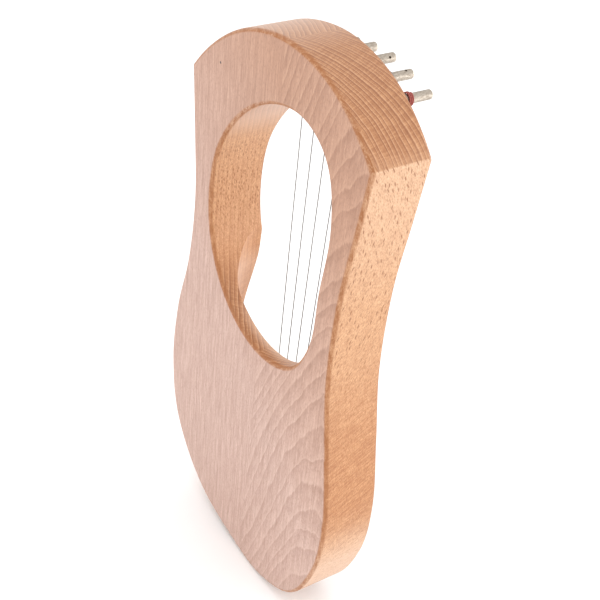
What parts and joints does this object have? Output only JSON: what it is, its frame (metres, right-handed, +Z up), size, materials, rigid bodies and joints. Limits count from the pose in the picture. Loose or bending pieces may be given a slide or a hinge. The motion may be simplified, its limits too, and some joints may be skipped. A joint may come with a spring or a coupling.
{
  "type": "lyre harp",
  "caption": "Small hollowed wooden lyre harp with an open arch, an inset sound board, a bridge and steel strings on turning pins.",
  "frame": {"origin": "on the flat back face, in the middle of the belly behind the sound box", "axes": "+Z up along the strings towards the tuning pins, +Y out of the back face, +X to the right as seen from the string side"},
  "size_m": [0.1863, 0.0561, 0.3685],
  "materials": {
    "beech": "oiled, satin",
    "spruce": "oiled, satin",
    "bridge_beech": "oiled, satin",
    "string_steel": "plain drawn wire",
    "pin_nickel": "dull nickel",
    "red_thread": "wound thread"
  },
  "bodies": {
    "lyre": {"body": "beech", "soundboard": "spruce", "upper_brace": "spruce", "lower_brace": "spruce", "bridge": "bridge_beech", "saddle_wire": "string_steel", "hitch_pin_1": "string_steel", "hitch_pin_2": "string_steel", "hitch_pin_3": "string_steel", "hitch_pin_4": "string_steel", "hitch_pin_5": "string_steel", "hitch_pin_6": "string_steel", "hitch_pin_7": "string_steel", "string_1": "string_steel", "string_2": "string_steel", "string_3": "string_steel", "string_4": "string_steel", "string_5": "string_steel", "string_6": "string_steel", "string_7": "string_steel", "red_thread_1": "red_thread"},
    "tuning_pin_1": {"tuning_pin_1": "pin_nickel"},
    "tuning_pin_2": {"tuning_pin_2": "pin_nickel"},
    "tuning_pin_3": {"tuning_pin_3": "pin_nickel"},
    "tuning_pin_4": {"tuning_pin_4": "pin_nickel"},
    "tuning_pin_5": {"tuning_pin_5": "pin_nickel"},
    "tuning_pin_6": {"tuning_pin_6": "pin_nickel"},
    "tuning_pin_7": {"tuning_pin_7": "pin_nickel"}
  },
  "joints": [
    {"name": "tuning_pin_1_turn", "type": "hinge", "parent": "lyre", "child": "tuning_pin_1", "pos_m": [-0.0585, -0.036, 0.25727], "axis": [0, -1, 0], "range_deg": [-360, 1260]},
    {"name": "tuning_pin_2_turn", "type": "hinge", "parent": "lyre", "child": "tuning_pin_2", "pos_m": [-0.0423, -0.036, 0.26106], "axis": [0, -1, 0], "range_deg": [-360, 1260]},
    {"name": "tuning_pin_3_turn", "type": "hinge", "parent": "lyre", "child": "tuning_pin_3", "pos_m": [-0.027, -0.036, 0.26351], "axis": [0, -1, 0], "range_deg": [-360, 1260]},
    {"name": "tuning_pin_4_turn", "type": "hinge", "parent": "lyre", "child": "tuning_pin_4", "pos_m": [-0.0112, -0.036, 0.26267], "axis": [0, -1, 0], "range_deg": [-360, 1260]},
    {"name": "tuning_pin_5_turn", "type": "hinge", "parent": "lyre", "child": "tuning_pin_5", "pos_m": [0.0032, -0.036, 0.2595], "axis": [0, -1, 0], "range_deg": [-360, 1260]},
    {"name": "tuning_pin_6_turn", "type": "hinge", "parent": "lyre", "child": "tuning_pin_6", "pos_m": [0.0165, -0.036, 0.25555], "axis": [0, -1, 0], "range_deg": [-360, 1260]},
    {"name": "tuning_pin_7_turn", "type": "hinge", "parent": "lyre", "child": "tuning_pin_7", "pos_m": [0.0295, -0.036, 0.24951], "axis": [0, -1, 0], "range_deg": [-360, 1260]}
  ]
}
